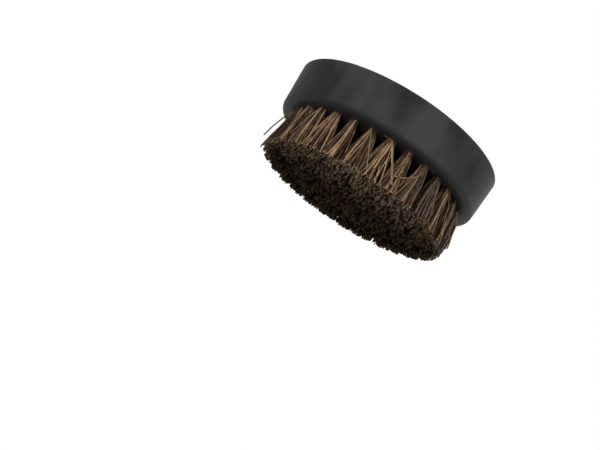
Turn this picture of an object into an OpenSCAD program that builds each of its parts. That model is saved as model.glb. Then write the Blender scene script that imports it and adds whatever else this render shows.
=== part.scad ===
// Round brush head for scrubbing a grill grid, with rows of stiff plant-fibre tufts.
// It stands on its bristle tips: the origin is the middle of the tip plane and +Z runs up through
// the cup-shaped back. The notch for the handle's neck faces +Y.

/* [Head] */
// Outside diameter of the head at its rim
head_d = 102; // [90:1:120]
// Outside diameter at the bristle side, to which the wall narrows
base_d = 99.5; // [86:0.5:119]
// Thickness of the base that holds the tufts
base_h = 12; // [9:0.5:16]
// Radius of the rounded edge on the bristle side
base_round = 2.5; // [1:0.5:5]

/* [Handle socket] */
// Depth of the round socket in the back of the head
socket_depth = 9; // [5:0.5:14]
// Width of the rim around the socket
rim_w = 4; // [2.5:0.5:7]
// Radius on the inner and outer edge of the rim
rim_round = 0.5; // [0.2:0.1:1]
// Radius where the socket's wall meets its floor
socket_round = 1; // [0.5:0.25:2]
// Width of the notch in the rim for the handle's neck
notch_w = 16; // [8:1:30]
// Radius of the notch's top corners
notch_round = 1; // [0.25:0.25:3]

/* [Tuft holes] */
// Diameter of each tuft hole
hole_d = 4; // [3:0.25:5]
// Plastic left above the end of each hole
hole_skin = 2; // [1:0.25:4]
// Distance from the edge of the bristle side to the hole centres of the outer row
row_edge = 7.5; // [6:0.5:12]
// Radius of the innermost row of holes
inner_row_r = 6.2; // [5:0.2:8]
// Outward lean of the outer row's holes, in degrees
outer_lean = 2; // [0:0.5:14]

/* [Rows] */
// Tufts in the outer row
outer_row_n = 29; // [22:1:29]
// Tufts in the second row
second_row_n = 22; // [16:1:22]
// Tufts in the third row
third_row_n = 16; // [11:1:17]
// Tufts in the fourth row
fourth_row_n = 10; // [7:1:11]
// Tufts in the inner row
inner_row_n = 4; // [2:1:4]

/* [Bristles] */
// Length of the bristles outside the head
bristle_h = 20.5; // [12:0.5:32]
// Gap left around a tuft in its hole
tuft_gap = 0.05; // [0.02:0.01:0.15]
// Least gap between neighbouring tufts at their tips
tip_gap = 0.5; // [0.2:0.1:1.5]
// Gap between the strands that a tuft splits into
strand_gap = 0.1; // [0.05:0.05:0.3]

/* [Anchors] */
// Thickness of the flat anchor wire
anchor_t = 0.4; // [0.25:0.05:0.6]
// Width of the flat anchor wire, along the hole
anchor_w = 1.8; // [1.2:0.1:2.4]
// Depth to which each end of an anchor bites into the head
anchor_bite = 0.4; // [0.2:0.05:0.8]
// Thickness of the folded fibres between an anchor and the end of its hole
fold_h = 0.9; // [0.6:0.1:1.5]

/* [Hidden] */
$fn = 96;
// Overrun of a cut past the face that it opens
cut = 1;

head_r = head_d / 2;
base_r = base_d / 2;
head_h = base_h + socket_depth;
socket_r = head_r - rim_w;
socket_z = bristle_h + base_h;
rim_z = bristle_h + head_h;
// Draft angle of the outside wall
draft = atan((head_r - base_r) / head_h);

// Rows from the outside in, evenly spaced from the outer row to the inner one
row_n = [outer_row_n, second_row_n, third_row_n, fourth_row_n, inner_row_n];
row_names = ["outer", "second", "third", "fourth", "inner"];
rows = len(row_n);
outer_row_r = base_r - row_edge;
row_pitch = (outer_row_r - inner_row_r) / (rows - 1);
function row_r(row) = outer_row_r - row * row_pitch;
function row_lean(row) = outer_lean * row_r(row) / outer_row_r;

// Where a row's tufts reach the tip plane, and the room that they have there
function tip_r(row) = row_r(row) + bristle_h * tan(row_lean(row));
function tip_chord(row) = 2 * tip_r(row) * sin(180 / row_n[row]);
function tip_step(row) = tip_r(row) - tip_r(row + 1);
tip_d = min(concat(
    [for (row = [0 : rows - 1]) tip_chord(row)],
    [for (row = [0 : rows - 2]) tip_step(row)]
)) - tip_gap;
// Half width of the box that takes in every tuft above the tip plane
tip_reach = tip_r(0) + tip_d;

tuft_d = hole_d - 2 * tuft_gap;
hole_depth = base_h - hole_skin;
// A tuft stays whole until it is clear of the slanted mouth of its hole
split_start = hole_d * tan(outer_lean) / 2;
anchor_l = hole_d + 2 * anchor_bite;

// Six strands of one size stand around a middle one, and they fill a circle of a given radius
side_strands = 6;
function strand_r(circle_r) = (circle_r - strand_gap) / 3;
function strand_ring_r(circle_r) = 2 * strand_r(circle_r) + strand_gap;
root_circle_r = tuft_d / 2 - strand_gap;
tip_circle_r = tip_d / 2;
// Length of each strand that runs into the whole part of its tuft
strand_root = 1;

// The two outer rows have a node for each tuft, and the inner rows one for each row
single_rows = 2;
function two_digits(i) = str(i < 10 ? "0" : "", i);
function tuft_name(row, i) = str(row_names[row], "_tuft_", two_digits(i + 1));
function tuft_row_name(row) = str(row_names[row], "_row_tufts");
function anchor_row_name(row) = str(row_names[row], "_row_anchors");

// Puts its children at a tuft's root, with their +Z along the hole and +X along the anchor wire.
// The first tuft of each row faces -Y.
module at_tuft(row, i) {
    rotate(360 * i / row_n[row] - 90)
        translate([row_r(row), 0, bristle_h])
            rotate([0, -row_lean(row), 0])
                rotate(90)
                    children();
}

// One piece of anchor wire, lying across its hole below the folded fibres
module anchor_wire() {
    translate([-anchor_l / 2, -anchor_t / 2, hole_depth - fold_h - anchor_w])
        cube([anchor_l, anchor_t, anchor_w]);
}

// Blind hole for one tuft, with the two bites of its anchor
module tuft_hole() {
    translate([0, 0, -cut])
        cylinder(h = hole_depth + cut, d = hole_d);
    anchor_wire();
}

// Half section of the head: base, drafted wall and rim, with every edge rounded as it is moulded
module head_section() {
    lip_z = rim_z - rim_round;
    lip_wall_r = base_r + (lip_z - bristle_h) * tan(draft);
    lip = [lip_wall_r - rim_round / cos(draft), lip_z];
    edge = [base_r - base_round * (1 - sin(draft)) / cos(draft), bristle_h + base_round];
    off_wall = [cos(draft), -sin(draft)];
    polygon([
        [0, bristle_h],
        [edge[0], bristle_h],
        edge + base_round * off_wall,
        lip + rim_round * off_wall,
        [lip[0], rim_z],
        [socket_r + rim_round, rim_z],
        [socket_r, lip_z],
        [socket_r, socket_z],
        [0, socket_z]
    ]);
    translate(edge)
        circle(base_round);
    for (x = [socket_r + rim_round, lip[0]])
        translate([x, lip_z])
            circle(rim_round);
    translate([socket_r - socket_round, socket_z])
        difference() {
            square(socket_round);
            translate([0, socket_round])
                circle(socket_round);
        }
}

// Outline of the notch as seen from its open side, with the rim rounded down into it
module notch_section() {
    translate([-notch_w / 2, socket_z])
        square([notch_w, socket_depth + cut]);
    for (side = [0, 1])
        mirror([side, 0])
            translate([notch_w / 2, rim_z - notch_round])
                difference() {
                    square([notch_round, notch_round + cut]);
                    translate([notch_round, 0])
                        circle(notch_round);
                }
}

// Cup-shaped moulding: tuft holes below, handle socket above, one notch through the rim
module head() {
    color("#2b2b2d")
        difference() {
            rotate_extrude()
                head_section();
            rotate([90, 0, 180])
                linear_extrude(head_r + cut)
                    notch_section();
            for (row = [0 : rows - 1])
                for (i = [0 : row_n[row] - 1])
                    at_tuft(row, i)
                        tuft_hole();
        }
}

// One strand of a tuft, from the whole part of the tuft to past the tip plane. The middle strand has
// a spread of 0 and runs down the tuft's axis, and the side strands have one of 1 and lean away from it.
module strand(axis_l, spread) {
    root_ring_r = spread * strand_ring_r(root_circle_r);
    tip_ring_r = spread * strand_ring_r(tip_circle_r);
    strand_lean = atan((tip_ring_r - root_ring_r) / axis_l);
    strand_l = axis_l / cos(strand_lean);
    flare = (strand_r(tip_circle_r) - strand_r(root_circle_r)) / strand_l;
    spare = tip_circle_r + cut;
    translate([root_ring_r, 0, 0])
        rotate([0, -strand_lean, 0])
            translate([0, 0, -strand_l - spare])
                cylinder(
                    h = strand_l + spare + strand_root,
                    r1 = strand_r(tip_circle_r) + flare * spare,
                    r2 = strand_r(root_circle_r) - flare * strand_root
                );
}

// One bundle of fibres: whole in its hole, splitting into strands that fan out, cut level at the tip plane
module tuft(row, i) {
    axis_l = bristle_h / cos(row_lean(row));
    color("#7d5a35")
        intersection() {
            at_tuft(row, i)
                difference() {
                    union() {
                        translate([0, 0, -split_start])
                            cylinder(h = hole_depth + split_start, d = tuft_d);
                        strand(axis_l, 0);
                        for (k = [0 : side_strands - 1])
                            rotate(360 * k / side_strands)
                                strand(axis_l, 1);
                    }
                    anchor_wire();
                }
            translate([-tip_reach, -tip_reach, 0])
                cube([2 * tip_reach, 2 * tip_reach, rim_z]);
        }
}

module tuft_row(row) {
    for (i = [0 : row_n[row] - 1])
        tuft(row, i);
}

module anchor_row(row) {
    color("#b9bcc0")
        for (i = [0 : row_n[row] - 1])
            at_tuft(row, i)
                anchor_wire();
}

head();
for (row = [0 : single_rows - 1])
    for (i = [0 : row_n[row] - 1])
        tuft(row, i);
for (row = [single_rows : rows - 1])
    tuft_row(row);
for (row = [0 : rows - 1])
    anchor_row(row);
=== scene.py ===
import math
import random

import bpy
from mathutils import Matrix, Vector


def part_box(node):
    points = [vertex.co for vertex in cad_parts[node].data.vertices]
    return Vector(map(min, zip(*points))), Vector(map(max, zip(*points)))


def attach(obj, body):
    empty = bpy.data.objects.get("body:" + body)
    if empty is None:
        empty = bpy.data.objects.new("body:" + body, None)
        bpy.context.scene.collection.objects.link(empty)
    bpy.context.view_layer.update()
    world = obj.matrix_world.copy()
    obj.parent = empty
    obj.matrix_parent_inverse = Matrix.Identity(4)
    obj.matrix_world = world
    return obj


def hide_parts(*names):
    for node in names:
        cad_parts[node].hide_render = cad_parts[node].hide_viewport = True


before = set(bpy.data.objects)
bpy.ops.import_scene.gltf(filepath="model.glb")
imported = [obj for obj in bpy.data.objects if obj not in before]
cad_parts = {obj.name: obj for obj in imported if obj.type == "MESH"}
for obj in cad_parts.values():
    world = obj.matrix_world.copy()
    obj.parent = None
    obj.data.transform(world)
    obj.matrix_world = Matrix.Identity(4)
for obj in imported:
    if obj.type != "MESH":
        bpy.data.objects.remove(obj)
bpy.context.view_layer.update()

# Head: one cup-shaped moulding in black polypropylene, with a satin, slightly cloudy skin from the mould.
# It keeps its shape from the solid model, with the tuft holes below and the handle socket and notch above.

head_low, head_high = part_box("head")
base_z = head_low[2]
rim_z = head_high[2]


class Flow:
    """A value on its way through a tree of nodes. Arithmetic on it adds Math nodes."""

    def __init__(self, tree, socket=None):
        self.tree = tree
        self.socket = socket

    def node(self, kind, settings=None, inputs=None, output=0):
        """Adds one node: its settings first, then the values or links of its sockets."""
        made = self.tree.nodes.new("ShaderNode" + kind)
        for name, value in (settings or {}).items():
            if name == "stops":
                ramp = made.color_ramp
                while len(ramp.elements) < len(value):
                    ramp.elements.new(0.5)
                for element, (place, colour) in zip(ramp.elements, value):
                    element.position = place
                    element.color = (*colour, 1.0)
            else:
                setattr(made, name, value)
        for name, value in (inputs or {}).items():
            if isinstance(value, Flow):
                self.tree.links.new(value.socket, made.inputs[name])
            else:
                made.inputs[name].default_value = value
        return Flow(self.tree, made.outputs[output])

    def math(self, operation, *values):
        return self.node("Math", {"operation": operation}, dict(enumerate(values)))

    def __add__(self, other):
        return self.math("ADD", self, other)

    def __sub__(self, other):
        return self.math("SUBTRACT", self, other)

    def __rsub__(self, other):
        return self.math("SUBTRACT", other, self)

    def __mul__(self, other):
        return self.math("MULTIPLY", self, other)

    __radd__ = __add__
    __rmul__ = __mul__

    def vector_math(self, operation, *vectors, output="Vector"):
        return self.node("VectorMath", {"operation": operation}, dict(enumerate(vectors)), output)

    def between(self, low, high):
        """0 below low, 1 above high, and a soft step in between."""
        return self.node(
            "MapRange",
            {"interpolation_type": "SMOOTHSTEP"},
            {"Value": self, "From Min": low, "From Max": high},
        )

    def at_least(self, least):
        """Lifts a share, so that it starts from a least value in place of 0."""
        return least + (1.0 - least) * self

    def noise(self, place, scale, detail, roughness):
        return self.node(
            "TexNoise", {}, {"Vector": place, "Scale": scale, "Detail": detail, "Roughness": roughness}
        )

    def blend(self, share, first, second):
        """A colour between two colours."""
        return self.node("Mix", {"data_type": "RGBA"}, {0: share, 6: first, 7: second}, output=2)

    def bump(self, height, strength, distance):
        return self.node("Bump", {}, {"Height": height, "Strength": strength, "Distance": distance})

    def ends_as(self, shader, output="OutputMaterial"):
        """Joins the finished shader to the output of its nodes."""
        end = self.tree.nodes.new("ShaderNode" + output)
        self.tree.links.new(shader.socket, end.inputs["Surface"])


def new_finish(name):
    """An empty material and the start of its flow."""
    material = bpy.data.materials.new(name)
    material.use_nodes = True
    material.node_tree.nodes.clear()
    return material, Flow(material.node_tree)


def satin_black_plastic():
    """Black skin with soft clouds and placed patches on the wall, painted shade on its rounded lower edge,
    a rubbed rim with a painted reflection, and a little fibre dust on the bristle side that also paints
    light into the shaded gaps.
    """
    deep_black = (0.0030, 0.0030, 0.0031, 1.0)
    cloudy_black = (0.0290, 0.0290, 0.0295, 1.0)
    rubbed_grey_and_sheen = (0.040, 0.040, 0.041, 1.0)
    fibre_dust_and_gap_light = (0.026, 0.024, 0.022, 1.0)
    cloud_stretch = (1.0, 1.0, 0.5)
    usual_cloud = 0.30
    cloud_inside_socket = 0.50
    cloud_share_in_edge_shade = 0.10
    patch_core_r = 0.003
    patch_r = 0.024
    # Three patches with soft edges on the near side of the wall: two make it darker, one lighter.
    placed_patches = (
        ((-0.041, -0.029, 0.031), -0.50),
        ((-0.025, -0.044, 0.031), 0.25),
        ((0.040, -0.031, 0.031), -0.40),
    )
    wall_inside_r = 0.0474
    wall_outside_r = 0.0486
    rim_wear_and_sheen_start_z = rim_z - 0.0030
    rim_wear_and_sheen_full_z = rim_z - 0.0001
    dust_and_gap_light_full_z = base_z + 0.0001
    edge_shade_start_z = base_z + 0.0006
    edge_shade_end_z = base_z + 0.0034
    least_dust_and_gap_light = 0.40

    material, start = new_finish("satin_black_plastic")
    place = start.node("TexCoord", output="Object")
    height = start.node("SeparateXYZ", inputs={"Vector": place}, output="Z")
    level_place = start.vector_math("MULTIPLY", place, (1.0, 1.0, 0.0))
    from_axis = start.vector_math("LENGTH", level_place, output="Value")
    on_wall = from_axis.between(wall_inside_r, wall_outside_r)
    # The top 3 mm of the wall turns lighter towards the rim: an even painted reflection of the bright
    # studio, and rubbing wear where the scuffs are.
    rim = height.between(rim_wear_and_sheen_start_z, rim_wear_and_sheen_full_z)
    underside = 1 - height.between(dust_and_gap_light_full_z, edge_shade_start_z)

    drawn_up = start.vector_math("MULTIPLY", place, cloud_stretch)
    clouds = start.noise(drawn_up, scale=55.0, detail=2.0, roughness=0.45).between(0.32, 0.70)
    for patch_middle, change in placed_patches:
        away = start.vector_math("DISTANCE", place, patch_middle, output="Value")
        clouds = clouds + change * (1 - away.between(patch_core_r, patch_r))
    # Painted shade: the clouds fade to a tenth along the rounded lower edge, where the wall turns away from
    # the light, so the skin there is nearly deep black.
    clouds = clouds * height.between(edge_shade_start_z, edge_shade_end_z).at_least(cloud_share_in_edge_shade)
    grain = start.noise(place, scale=5200.0, detail=2.0, roughness=0.6)
    scuffs = start.noise(place, scale=900.0, detail=5.0, roughness=0.7).between(0.60, 0.78)

    cloudiness = usual_cloud + (clouds - usual_cloud) * on_wall.at_least(cloud_inside_socket)
    skin = start.blend(cloudiness, deep_black, cloudy_black)
    # The underside between the tuft roots turns lighter: fibre dust, and painted light that lifts the deep
    # shade in the gaps between the tufts.
    with_dust_and_gap_light = start.blend(underside * scuffs.at_least(least_dust_and_gap_light), skin, fibre_dust_and_gap_light)
    shader = start.node(
        "BsdfPrincipled",
        {},
        {
            "Base Color": start.blend(rim * (0.10 + 0.60 * scuffs), with_dust_and_gap_light, rubbed_grey_and_sheen),
            "Roughness": 0.52 + 0.12 * clouds + 0.06 * scuffs,
            "Specular IOR Level": 0.27,
            "Normal": start.bump(grain, strength=0.18, distance=0.00006),
        },
    )
    start.ends_as(shader)
    return material


def dress_node(name, material):
    """Gives a solid of the frame its finish."""
    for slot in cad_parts[name].material_slots:
        slot.material = material


dress_node("head", satin_black_plastic())

# Anchors: short pieces of flat steel wire, one across each hole, driven in over the fold of the tuft.
# Their bare ends bite into the plastic and hold the tuft. They are hidden once the brush is filled.


def drawn_steel_wire():
    """Bare wire with faint lines from the drawing die and a dull tarnish."""
    bright = (0.56, 0.56, 0.57, 1.0)
    dull = (0.30, 0.29, 0.28, 1.0)
    material, start = new_finish("drawn_steel_wire")
    place = start.node("TexCoord", output="Object")
    tarnish = start.noise(place, scale=1500.0, detail=4.0, roughness=0.6).between(0.40, 0.75)
    die_lines = start.noise(place, scale=9000.0, detail=2.0, roughness=0.5)
    shader = start.node(
        "BsdfPrincipled",
        {},
        {
            "Base Color": start.blend(tarnish, bright, dull),
            "Metallic": 1.0,
            "Roughness": 0.28 + 0.25 * tarnish,
            "Normal": start.bump(die_lines, strength=0.15, distance=0.00002),
        },
    )
    start.ends_as(shader)
    return material


row_names = ["outer", "second", "third", "fourth", "inner"]
wire_finish = drawn_steel_wire()
for row_name in row_names:
    dress_node(f"{row_name}_row_anchors", wire_finish)

# Tufts: bundles of stiff brown palm fibre, folded in the middle and pulled into the holes by their anchors.
# The fibres fan out from the hole in seven strands, bow a little and are trimmed level, with a few short,
# crossing or loose ones.

bristle_h = base_z
base_r = 0.04975
row_edge = 0.0075
inner_row_r = 0.0062
outer_lean = math.radians(2.0)
row_counts = [29, 22, 16, 10, 4]
outer_row_r = base_r - row_edge
row_pitch = (outer_row_r - inner_row_r) / (len(row_counts) - 1)


class Hole:
    """Where one tuft stands: the mouth of its hole, the way into it and the middle of its tips."""

    def __init__(self, row, place_in_row):
        row_r = outer_row_r - row * row_pitch
        lean = outer_lean * row_r / outer_row_r
        turn = math.tau * place_in_row / row_counts[row] - math.pi / 2
        self.outward = Vector((math.cos(turn), math.sin(turn), 0.0))
        self.sideways = Vector((-math.sin(turn), math.cos(turn), 0.0))
        self.mouth = self.outward * row_r + Vector((0.0, 0.0, bristle_h))
        self.inwards = Vector((0.0, 0.0, math.cos(lean))) - self.outward * math.sin(lean)
        self.tip_centre = self.outward * (row_r + bristle_h * math.tan(lean))

    def aside(self, across_row, along_row):
        """A level step, outwards across the row and sideways along it."""
        return self.outward * across_row + self.sideways * along_row

    def scatter(self, across_row, along_row, chance):
        """A random level step, with its usual lengths across the row and along it."""
        return self.aside(chance.gauss(0.0, across_row), chance.gauss(0.0, along_row))


tube_sides = 6
tube_steps = [0.0, 0.2, 0.42, 0.65, 0.85, 1.0]
end_twist = 0.25
end_thinning = 0.12


class Bundle:
    """The mesh of one piece as it grows, with the looks of its fibre at each point."""

    def __init__(self):
        self.points = []
        self.faces = []
        self.cut_ends = []
        self.looks = {"tone": [], "grey": [], "russet": [], "along": []}

    def add_fibre(self, path, half_width, flatness, twist, looks):
        """A closed tube through the points of a path: a flat oval that twists and thins towards its end."""
        first = len(self.points)
        direction = (path[-1] - path[0]).normalized()
        start_side = direction.orthogonal()
        for step, centre in enumerate(path):
            along = step / (len(path) - 1)
            side = Matrix.Rotation(twist * (1.0 + end_twist * along), 3, direction) @ start_side
            edge = direction.cross(side)
            wide = half_width * (1.0 - end_thinning * along)
            for corner in range(tube_sides):
                angle = math.tau * corner / tube_sides
                self.points.append(
                    centre + side * wide * math.cos(angle) + edge * wide * flatness * math.sin(angle)
                )
                for name, value in {**looks, "along": along}.items():
                    self.looks[name].append(value)
        for step in range(len(path) - 1):
            low = first + step * tube_sides
            for corner in range(tube_sides):
                following = (corner + 1) % tube_sides
                self.faces.append(
                    (low + corner, low + following, low + tube_sides + following, low + tube_sides + corner)
                )
        last = first + (len(path) - 1) * tube_sides
        self.add_cut_end(first + corner for corner in reversed(range(tube_sides)))
        self.add_cut_end(last + corner for corner in range(tube_sides))

    def add_cut_end(self, corners):
        """A flat face with sharp edges that closes one end of a tube."""
        self.cut_ends.append(len(self.faces))
        self.faces.append(tuple(corners))

    def to_object(self, name, material):
        """Makes the piece, with smooth sides and sharp cut ends."""
        mesh = bpy.data.meshes.new(name)
        mesh.from_pydata(self.points, [], self.faces)
        for attribute, values in self.looks.items():
            layer = mesh.attributes.new(attribute, "FLOAT", "POINT")
            layer.data.foreach_set("value", values)
        mesh.polygons.foreach_set("use_smooth", [True] * len(mesh.polygons))
        sharp = mesh.attributes.new("sharp_edge", "BOOLEAN", "EDGE")
        end_edges = {key for face in self.cut_ends for key in mesh.polygons[face].edge_keys}
        sharp.data.foreach_set("value", [edge.key in end_edges for edge in mesh.edges])
        mesh.materials.append(material)
        piece = bpy.data.objects.new(name, mesh)
        bpy.context.scene.collection.objects.link(piece)
        return piece


def dry_palm_fibre():
    """Straw to reddish brown by the fibre's looks, with fine veins, olive cut ends and grey old fibres."""
    straw_tones = [
        (0.0, (0.026, 0.017, 0.011)),
        (0.32, (0.060, 0.036, 0.018)),
        (0.64, (0.180, 0.109, 0.052)),
        (1.0, (0.345, 0.232, 0.124)),
    ]
    reddish_tones = [
        (0.0, (0.026, 0.016, 0.012)),
        (0.32, (0.057, 0.032, 0.020)),
        (0.64, (0.160, 0.090, 0.053)),
        (1.0, (0.300, 0.182, 0.106)),
    ]
    dark_olive = (0.104, 0.083, 0.058, 1.0)
    pale_olive = (0.380, 0.306, 0.212, 1.0)
    olive_share = 0.5
    dark_grey = (0.036, 0.029, 0.026, 1.0)
    pale_grey = (0.115, 0.083, 0.063, 1.0)
    vein_scales = (4200.0, 4200.0, 190.0)

    material, start = new_finish("dry_palm_fibre")
    place = start.node("TexCoord", output="Object")
    tone, grey, russet, along = (
        start.node("Attribute", {"attribute_name": name}, output="Fac")
        for name in ("tone", "grey", "russet", "along")
    )
    lengthwise = start.vector_math("MULTIPLY", place, vein_scales)
    veins = start.noise(lengthwise, scale=1.0, detail=3.0, roughness=0.55)
    streaks = veins.between(0.36, 0.62)
    patches = start.noise(place, scale=260.0, detail=2.0, roughness=0.5).between(0.30, 0.70)
    shade = tone + 0.34 * (streaks - 0.5) + 0.24 * (patches - 0.5) + 0.08 * along.between(0.90, 1.0)
    straw = start.node("ValToRGB", {"stops": straw_tones}, {"Fac": shade})
    reddish = start.node("ValToRGB", {"stops": reddish_tones}, {"Fac": shade})
    browns = start.blend(russet, straw, reddish)
    olive = start.blend(streaks, dark_olive, pale_olive)
    trimmed = start.blend(olive_share * along.between(0.95, 1.0), browns, olive)
    weathered = start.blend(streaks, dark_grey, pale_grey)
    shader = start.node(
        "BsdfPrincipled",
        {},
        {
            "Base Color": start.blend(grey, trimmed, weathered),
            "Roughness": 0.50 + 0.22 * veins,
            "Specular IOR Level": 0.05,
            "Normal": start.bump(veins, strength=0.45, distance=0.00008),
        },
    )
    start.ends_as(shader)
    return material


bundle_r = 0.00170
hidden_length = 0.0060
outer_reach = 0.0466


def keep_inside(tip):
    """Holds a tip within the round outline of the brush."""
    from_axis = math.hypot(tip.x, tip.y)
    if from_axis > outer_reach:
        tip.x *= outer_reach / from_axis
        tip.y *= outer_reach / from_axis


def fibre_path(hole, root, tip, bow, wander, chance, hidden=hidden_length):
    """The middle line of a fibre, from its hidden start through the hole's mouth to its tip."""
    path = [root + hole.inwards * hidden]
    for step in tube_steps:
        slack = wander * math.sin(math.pi * step)
        uneven = Vector((chance.gauss(0.0, slack), chance.gauss(0.0, slack), 0.0))
        path.append(root.lerp(tip, step) + bow * (4.0 * step * (1.0 - step)) + uneven)
    return path


def disc_place(index, count, turn, chance):
    """An even place on a unit disc, with a little disorder."""
    golden_turn = math.pi * (3.0 - math.sqrt(5.0))
    disorder = 0.25
    reach = math.sqrt((index + 0.5) / count)
    angle = turn + golden_turn * index + chance.uniform(-disorder, disorder)
    return reach * math.cos(angle), reach * math.sin(angle)


def any_turn(chance):
    return chance.uniform(0.0, math.tau)


def fibre_looks(chance, strand_tone, strand_is_grey):
    """How dark, how grey and how red one fibre is: half of them are dark, and one in five is bright."""
    dark_below = 0.52
    bright_above = 0.80
    kind = chance.random()
    if kind < dark_below:
        tone = chance.uniform(0.0, 0.24)
    elif kind > bright_above:
        tone = chance.uniform(0.70, 1.0)
    else:
        tone = chance.uniform(0.30, 0.70)
    grey_share = 0.85 if strand_is_grey else 0.05
    is_grey = chance.random() < grey_share
    grey = chance.uniform(0.6, 0.95) if is_grey else chance.uniform(0.0, 0.2)
    return {"tone": min(1.0, max(0.0, tone + strand_tone)), "grey": grey, "russet": chance.random()}


side_strands = 6
root_ring_r = 0.00118
tip_ring_across_row = 0.0032
tip_ring_along_row = 0.0034
strand_root_r = 0.00052
strand_tip_r = 0.00185
strand_tone_spread = 0.08
grey_strand_share = 0.09

# Usual sways across the row and along it: of a strand's tip, of a fibre's tip and of the middle of a fibre
strand_sway = (0.0004, 0.0007)
tip_sway = (0.0004, 0.0008)
bow_sway = (0.0003, 0.0005)

# The tufts on the far side are fuller, so that the far edge of the tips is closed against the background.
# The fibres of the inner rows are coarser and hooked at the tip, and they are cut less evenly.
near_fibres = 6
far_fibres = 13
far_side_start = 0.2
inner_fibres = 4
outer_unevenness = 0.00025
inner_unevenness = 0.0015
inner_coarseness = 1.6
inner_tip_hook = 0.0011
inner_tone = 0.22
tuft_tone_spread = 0.05

lowest_tip_z = 0.00012
short_share = 0.10
fibre_wander = 0.00012
thinnest_fibre = 0.00016
usual_fibre = 0.00030
thickest_fibre = 0.00050


def add_strand(bundle, hole, strand, tuft_tone, is_outer, chance):
    """One strand of a tuft: the middle one or one of the six around it, which lean away from it."""
    if is_outer:
        fibres = far_fibres if hole.outward.y > far_side_start else near_fibres
        unevenness = outer_unevenness
    else:
        fibres = inner_fibres
        unevenness = inner_unevenness
    from_middle = min(strand, 1)
    angle = math.tau * strand / side_strands
    across_row = from_middle * math.sin(angle)
    along_row = from_middle * math.cos(angle)
    root_middle = hole.mouth + hole.aside(across_row, along_row) * root_ring_r
    lean = hole.aside(across_row * tip_ring_across_row, along_row * tip_ring_along_row)
    tip_middle = hole.tip_centre + lean + hole.scatter(*strand_sway, chance)
    strand_tone = tuft_tone + chance.gauss(0.0, strand_tone_spread)
    strand_is_grey = chance.random() < grey_strand_share
    strand_turn = any_turn(chance)
    for index in range(fibres):
        offset = hole.aside(*disc_place(index, fibres, strand_turn, chance))
        root = root_middle + offset * strand_root_r
        tip = tip_middle + offset * strand_tip_r + hole.scatter(*tip_sway, chance)
        tip.z = lowest_tip_z + abs(chance.gauss(0.0, unevenness))
        if chance.random() < short_share:
            tip = root.lerp(tip, chance.uniform(0.55, 0.95))
        keep_inside(tip)
        bow = hole.scatter(*bow_sway, chance)
        path = fibre_path(hole, root, tip, bow, fibre_wander, chance)
        if not is_outer:
            path[-1] += hole.scatter(inner_tip_hook, inner_tip_hook, chance)
        half_width = chance.triangular(thinnest_fibre, thickest_fibre, usual_fibre)
        if not is_outer:
            half_width *= inner_coarseness
        flatness = chance.uniform(0.45, 0.9)
        looks = fibre_looks(chance, strand_tone, strand_is_grey)
        bundle.add_fibre(path, half_width, flatness, any_turn(chance), looks)


hair_flatness = 0.8


def add_wisp(bundle, hole, chance):
    """A thin fibre that has slipped out of its tuft and crosses its neighbours."""
    wisp_wander = 0.00015
    root = hole.mouth + hole.aside(bundle_r, chance.uniform(-0.001, 0.001))
    drift = chance.choice((-1, 1)) * chance.uniform(0.003, 0.009)
    flare = chance.uniform(0.0020, 0.0038)
    tip = hole.tip_centre + hole.aside(flare, drift)
    tip.z = chance.uniform(0.0003, 0.0060)
    keep_inside(tip)
    bow = hole.aside(chance.uniform(0.0, 0.0010), chance.gauss(0.0, 0.0009))
    path = fibre_path(hole, root, tip, bow, wisp_wander, chance)
    looks = {"tone": chance.uniform(0.5, 0.95), "grey": chance.uniform(0.0, 0.3), "russet": chance.random()}
    half_width = chance.uniform(0.00012, 0.00024)
    bundle.add_fibre(path, half_width, hair_flatness, any_turn(chance), looks)


def add_root_hair(bundle, hole, chance):
    """A short broken hair that stands out from the mouth of the hole."""
    hair_wander = 0.00010
    hair_drop = 0.0003
    hair_hidden = 0.0010
    root = hole.mouth + hole.aside(bundle_r, chance.uniform(-0.0014, 0.0014))
    root.z -= hair_drop
    drift = chance.choice((-1, 1)) * chance.uniform(0.0015, 0.0040)
    flare = chance.uniform(0.0004, 0.0018)
    tip = root + hole.aside(flare, drift)
    tip.z -= chance.uniform(0.0003, 0.0040)
    bow = Vector((0.0, 0.0, -chance.uniform(0.0, 0.0006)))
    path = fibre_path(hole, root, tip, bow, hair_wander, chance, hair_hidden)
    looks = {"tone": chance.uniform(0.25, 0.7), "grey": chance.uniform(0.0, 0.4), "russet": chance.random()}
    half_width = chance.uniform(0.00010, 0.00018)
    bundle.add_fibre(path, half_width, hair_flatness, any_turn(chance), looks)


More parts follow.
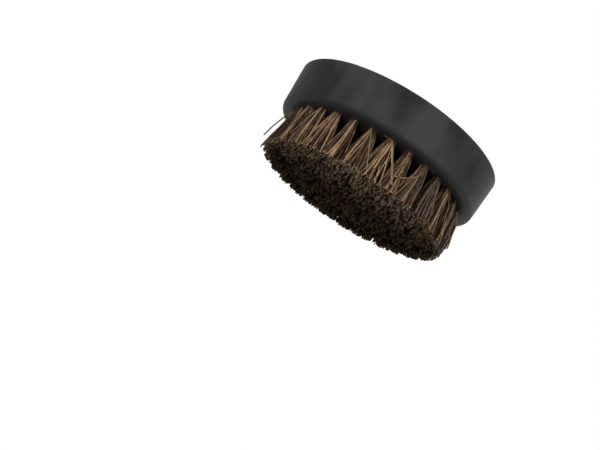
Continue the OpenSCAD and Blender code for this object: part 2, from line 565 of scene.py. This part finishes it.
# Fibres that have worked loose on single tufts, placed one by one. A bow goes across the row, along it and
# up.
loose_fibres = {
    "outer_tuft_01": [
        {"tip": (0.0097, -0.0458, 0.0032), "half_width": 0.00068, "tone": 0.72, "grey": 0.0},
        {"tip": (-0.0041, -0.0448, 0.0200), "half_width": 0.00015, "tone": 0.70, "grey": 0.0},
    ],
    "outer_tuft_03": [
        {
            "tip": (0.0089, -0.0464, 0.0069),
            "half_width": 0.00028,
            "tone": 0.62,
            "grey": 0.1,
            "bow": (0.0014, 0.0030, -0.0012),
        },
        {"tip": (0.0231, -0.0389, 0.0200), "half_width": 0.00016, "tone": 0.70, "grey": 0.0},
    ],
    "outer_tuft_07": [
        {"tip": (0.0474, -0.0070, 0.0041), "half_width": 0.00045, "tone": 0.55, "grey": 0.0},
        {"tip": (0.0468, -0.0056, 0.0036), "half_width": 0.00042, "tone": 0.40, "grey": 0.1},
        {"tip": (0.0463, -0.0064, 0.0031), "half_width": 0.00044, "tone": 0.25, "grey": 0.2},
    ],
    "outer_tuft_08": [{"tip": (0.0474, 0.0037, 0.0040), "half_width": 0.00030, "tone": 0.05, "grey": 0.9}],
    "outer_tuft_09": [{"tip": (0.0466, 0.0066, 0.0010), "half_width": 0.00032, "tone": 0.20, "grey": 0.6}],
    "outer_tuft_22": [{"tip": (-0.0479, 0.0100, 0.0015), "half_width": 0.00036, "tone": 0.10, "grey": 0.9}],
    "outer_tuft_23": [{"tip": (-0.0494, 0.0050, 0.0055), "half_width": 0.00034, "tone": 0.75, "grey": 0.1}],
}


def add_loose_fibre(bundle, hole, tip, half_width, tone, grey, bow=(0.0006, 0.0, 0.0)):
    """A flat fibre that stands well out of line. The draw of its slight wander follows from its width."""
    loose_wander = 0.00008
    loose_flatness = 0.35
    untwisted = 0.0
    loose_russet = 0.6
    width_in_micrometres = round(1e6 * half_width)
    chance = random.Random(width_in_micrometres)
    root = hole.mouth + hole.outward * bundle_r
    across_row, along_row, up = bow
    bow = hole.aside(across_row, along_row) + Vector((0.0, 0.0, up))
    path = fibre_path(hole, root, Vector(tip), bow, loose_wander, chance)
    looks = {"tone": tone, "grey": grey, "russet": loose_russet}
    bundle.add_fibre(path, half_width, loose_flatness, untwisted, looks)


def fill_hole(bundle, row, place_in_row, chance):
    """All the fibres of one tuft, from the depth of the hole to the trimmed tips."""
    is_outer = row == 0
    wisp_counts = (0, 1, 1, 2)
    hair_counts = (0, 0, 1, 2)
    hole = Hole(row, place_in_row)
    tuft_tone = chance.gauss(0.0 if is_outer else inner_tone, tuft_tone_spread)
    for strand in range(side_strands + 1):
        add_strand(bundle, hole, strand, tuft_tone, is_outer, chance)
    if is_outer:
        for _ in range(chance.choice(wisp_counts)):
            add_wisp(bundle, hole, chance)
        for _ in range(chance.choice(hair_counts)):
            add_root_hair(bundle, hole, chance)
    return hole


fibre_finish = dry_palm_fibre()


def place_bundle(bundle, node_name):
    """Turns a filled bundle into the piece that stands for a node of the frame."""
    piece = bundle.to_object(f"{node_name}_fibres", fibre_finish)
    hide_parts(node_name)
    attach(piece, "root")


# Seeds of the tufts that show most, each picked from a few. The others follow from a tuft's place.
first_seed = 7
seeds_per_row = 1000
chosen_seeds = {
    "outer_tuft_01": 505,
    "outer_tuft_02": 605,
    "outer_tuft_03": 705,
    "outer_tuft_04": 805,
    "outer_tuft_05": 906,
    "outer_tuft_06": 1010,
    "outer_tuft_07": 1110,
    "outer_tuft_08": 1202,
    "outer_tuft_25": 2902,
    "outer_tuft_26": 3002,
    "outer_tuft_27": 3100,
    "outer_tuft_28": 204,
    "outer_tuft_29": 303,
}
for row, (row_name, count) in enumerate(zip(row_names, row_counts)):
    row_bundle = Bundle()
    for place_in_row in range(count):
        single_node = f"{row_name}_tuft_{place_in_row + 1:02d}"
        usual_seed = first_seed + seeds_per_row * row + place_in_row
        chance = random.Random(chosen_seeds.get(single_node, usual_seed))
        if single_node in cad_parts:
            bundle = Bundle()
            hole = fill_hole(bundle, row, place_in_row, chance)
            for loose_fibre in loose_fibres.get(single_node, []):
                add_loose_fibre(bundle, hole, **loose_fibre)
            place_bundle(bundle, single_node)
        else:
            fill_hole(row_bundle, row, place_in_row, chance)
    if row_bundle.points:
        place_bundle(row_bundle, f"{row_name}_row_tufts")

# Floor: a plain pale studio table under the bristle tips, which fades into the white background.
# It shows from above only, so that the tips can be seen from below, and it takes the object's shadow.

floor_reach = 1.6
floor_mesh = bpy.data.meshes.new("floor")
floor_mesh.from_pydata(
    [(x * floor_reach, y * floor_reach, 0.0) for x, y in ((-1, -1), (1, -1), (1, 1), (-1, 1))],
    [],
    [(0, 1, 2, 3)],
)
floor = bpy.data.objects.new("floor", floor_mesh)
bpy.context.scene.collection.objects.link(floor)

white = (1.0, 1.0, 1.0, 1.0)


def pale_floor():
    """A matt table that thins out to nothing away from the brush, and is clear from below."""
    pale_grey = (0.88, 0.88, 0.88, 1.0)
    solid_r = 0.25
    faded_r = 1.1
    material, start = new_finish("pale_floor")
    place = start.node("TexCoord", output="Object")
    from_middle = start.vector_math("LENGTH", place, output="Value")
    from_below = start.node("NewGeometry", output="Backfacing")
    near = 1 - from_middle.between(solid_r, faded_r)
    table = start.node("BsdfDiffuse", {}, {"Color": pale_grey})
    clear = start.node("BsdfTransparent", {}, {"Color": white})
    start.ends_as(start.node("MixShader", {}, {0: near * (1 - from_below), 1: clear, 2: table}))
    return material


floor_mesh.materials.append(pale_floor())
floor.visible_shadow = False
floor.visible_diffuse = False

# Light: a studio that looks white, also in gloss, and gives more light from above than from below. Two
# lamps rake over the wall and the fibres from the left and the right, and a weak one fills in from the
# front. A very small one below lights the trimmed tips, and one behind lights the back.

world = bpy.data.worlds.new("studio")
bpy.context.scene.world = world
world.use_nodes = True
world.node_tree.nodes.clear()
studio = Flow(world.node_tree)
sky_greys = [(0.0, (0.11, 0.11, 0.11)), (0.5, (0.17, 0.17, 0.17)), (1.0, (0.75, 0.75, 0.75))]
direction = studio.node("TexCoord", output="Generated")
up_down = studio.node("SeparateXYZ", inputs={"Vector": direction}, output="Z")
sky = studio.node("ValToRGB", {"stops": sky_greys}, {"Fac": 0.5 + 0.5 * up_down})
seen = studio.node("LightPath", output="Is Camera Ray")
mirrored = studio.node("LightPath", output="Is Glossy Ray")
passed = studio.node("LightPath", output="Is Transmission Ray")
shows_white = studio.math("MAXIMUM", seen, studio.math("MAXIMUM", mirrored, passed))
backdrop = studio.blend(shows_white, sky, white)
studio.ends_as(studio.node("Background", {}, {"Color": backdrop, "Strength": 1.0}), "OutputWorld")

brush_middle = Vector((0.0, 0.0, 0.02))
low_lamp_place = Vector((-0.10, -0.30, -0.13))


def soft_lamp(name, place, size, power, in_gloss=False):
    """A square lamp that is aimed at the middle of the brush."""
    lamp_data = bpy.data.lights.new(name, "AREA")
    lamp_data.shape = "SQUARE"
    lamp_data.size = size
    lamp_data.energy = power
    lamp = bpy.data.objects.new(name, lamp_data)
    lamp.location = place
    lamp.rotation_euler = (brush_middle - Vector(place)).to_track_quat("-Z", "Y").to_euler()
    lamp.visible_glossy = in_gloss
    bpy.context.scene.collection.objects.link(lamp)


soft_lamp("left_lamp", (-0.70, -0.58, 0.34), size=0.3, power=4.9)
soft_lamp("right_lamp", (0.70, -0.58, 0.34), size=0.3, power=5.0)
soft_lamp("fill_lamp", (-0.05, -0.90, 0.10), size=0.4, power=0.8)
soft_lamp("low_lamp", low_lamp_place, size=0.02, power=0.54)
soft_lamp("back_lamp", (0.6, 0.6, 0.7), size=0.5, power=2.5, in_gloss=True)

# Cards: black paper on stands, which can't be seen itself. A barn door between the low lamp and the brush
# casts its shadow over the far part of the bristle tips, so that the trimmed face falls off into shade. Two
# thin flags beside the brush dim the white studio where the ends of the wall reflect it.


def black_paper(name, cover):
    """Paper that hides a share of what lies behind it."""
    paper_black = (0.01, 0.01, 0.01, 1.0)
    material, start = new_finish(name)
    paper = start.node("BsdfDiffuse", {}, {"Color": paper_black})
    clear = start.node("BsdfTransparent", {}, {"Color": white})
    start.ends_as(start.node("MixShader", {}, {0: cover, 1: clear, 2: paper}))
    return material


def hang_card(name, corners, cover):
    """A card with four corners, which only throws shadows or shows in gloss."""
    card_mesh = bpy.data.meshes.new(name)
    card_mesh.from_pydata(corners, [], [(0, 1, 2, 3)])
    card_mesh.materials.append(black_paper(f"{name}_paper", cover))
    card = bpy.data.objects.new(name, card_mesh)
    bpy.context.scene.collection.objects.link(card)
    card.visible_camera = False
    card.visible_diffuse = False
    return card


shade_start = Vector((0.0, -0.024, 0.0))
door_top = (low_lamp_place + shade_start) / 2
door_reach = 0.15
full_cover = 1.0
barn_door = hang_card(
    "barn_door",
    [
        (door_top.x + side * door_reach, door_top.y, door_top.z - drop * door_reach)
        for side, drop in ((-1, 0), (1, 0), (1, 1), (-1, 1))
    ],
    full_cover,
)
barn_door.visible_glossy = False

flag_distance = 0.45
flag_reach = 0.26
flag_middle_z = 0.12
for flag_name, turn, cover in (
    ("left_flag", math.radians(150.0), 0.50),
    ("right_flag", math.radians(20.0), 0.30),
):
    outward = Vector((math.cos(turn), math.sin(turn), 0.0))
    sideways = Vector((-math.sin(turn), math.cos(turn), 0.0))
    flag_middle = outward * flag_distance + Vector((0.0, 0.0, flag_middle_z))
    flag = hang_card(
        flag_name,
        [
            flag_middle + sideways * side * flag_reach + Vector((0.0, 0.0, rise * flag_reach))
            for side, rise in ((-1, -1), (1, -1), (1, 1), (-1, 1))
        ],
        cover,
    )
    flag.visible_shadow = False

# Camera: a long lens that looks up at the bristle tips, with the brush leaning over to the right.
# The rim's middle falls on a named pixel of a picture 600 wide and 450 high.

picture_w = 600.0
picture_h = 450.0
rim_pixel = (397.75, 128.2)
lens_px = 1500.0
rim_depth = 0.6847
look_up = math.radians(13.92)
lean_right = math.radians(33.07)

forward = Vector((0.0, math.cos(look_up), math.sin(look_up)))
level = Vector((1.0, 0.0, 0.0))
upright = level.cross(forward)
right = level * math.cos(lean_right) + upright * math.sin(lean_right)
above = upright * math.cos(lean_right) - level * math.sin(lean_right)
rim_middle = Vector((0.0, 0.0, rim_z))
aside = (rim_pixel[0] - picture_w / 2) / lens_px * rim_depth
below = (rim_pixel[1] - picture_h / 2) / lens_px * rim_depth

camera_data = bpy.data.cameras.new("camera")
camera_data.sensor_width = 36.0
camera_data.lens = camera_data.sensor_width * lens_px / picture_w
camera_data.clip_end = 20.0
camera = bpy.data.objects.new("camera", camera_data)
bpy.context.scene.collection.objects.link(camera)
camera_place = rim_middle - right * aside + above * below - forward * rim_depth
camera_turn = Matrix((right, above, -forward)).transposed().to_4x4()
camera.matrix_world = Matrix.Translation(camera_place) @ camera_turn
bpy.context.scene.camera = camera
bpy.context.scene.view_settings.view_transform = "Standard"
